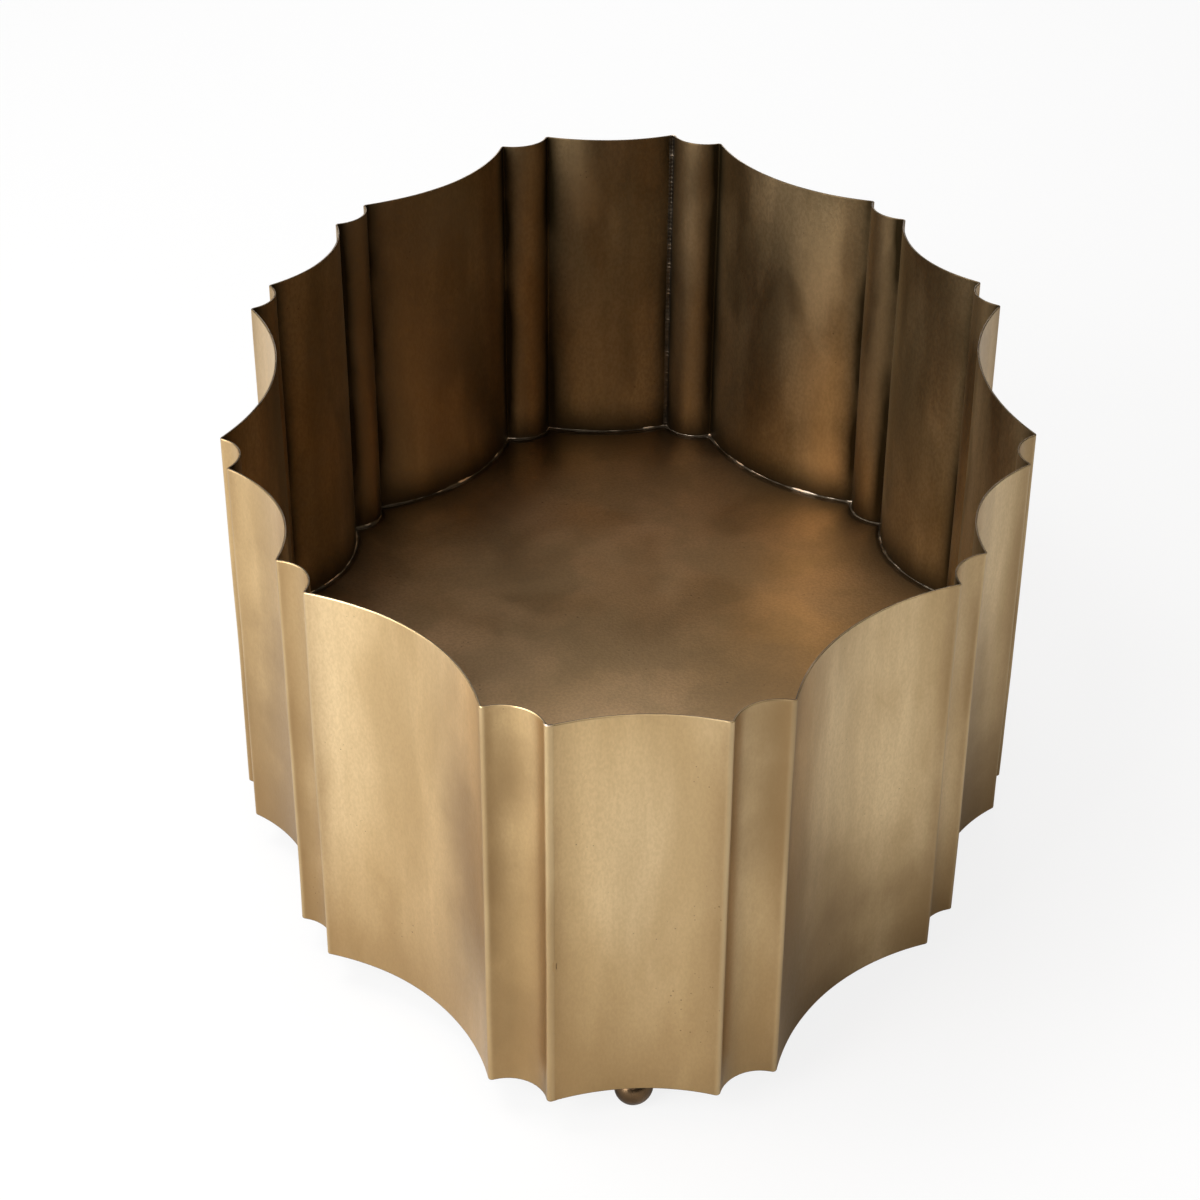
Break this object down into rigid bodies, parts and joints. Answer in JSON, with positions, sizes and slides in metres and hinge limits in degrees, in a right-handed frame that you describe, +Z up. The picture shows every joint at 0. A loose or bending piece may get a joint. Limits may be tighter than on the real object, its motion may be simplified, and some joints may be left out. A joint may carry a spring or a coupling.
{
  "type": "brass planter",
  "caption": "Oblong open-topped brass planter with a scalloped upright wall of folded sheet, a flat brazed floor and ball feet.",
  "frame": {"origin": "on the standing surface, below the middle of the vessel", "axes": "+Z up, +Y along the vessel's length towards the back, +X across it towards its right side"},
  "size_m": [0.3986, 0.6308, 0.2216],
  "materials": {
    "wall_brass": "satin antique brass, light gold-tan and vertically brushed outside, dark bronze patina inside",
    "floor_brass": "dark bronze patina, cloudy, from the heat of brazing",
    "foot_brass": "turned and polished, darkened with age",
    "braze": "rough cast filler, dull, with bright coppery spots"
  },
  "bodies": {
    "root": {"wall_half_right": "wall_brass", "wall_half_left": "wall_brass", "seam_braze_front": "braze", "seam_braze_back": "braze", "floor_plate": "floor_brass", "floor_braze": "braze", "foot_front": "foot_brass", "foot_right": "foot_brass", "foot_back": "foot_brass", "foot_left": "foot_brass", "foot_braze_front": "braze", "foot_braze_right": "braze", "foot_braze_back": "braze", "foot_braze_left": "braze"}
  },
  "joints": []
}
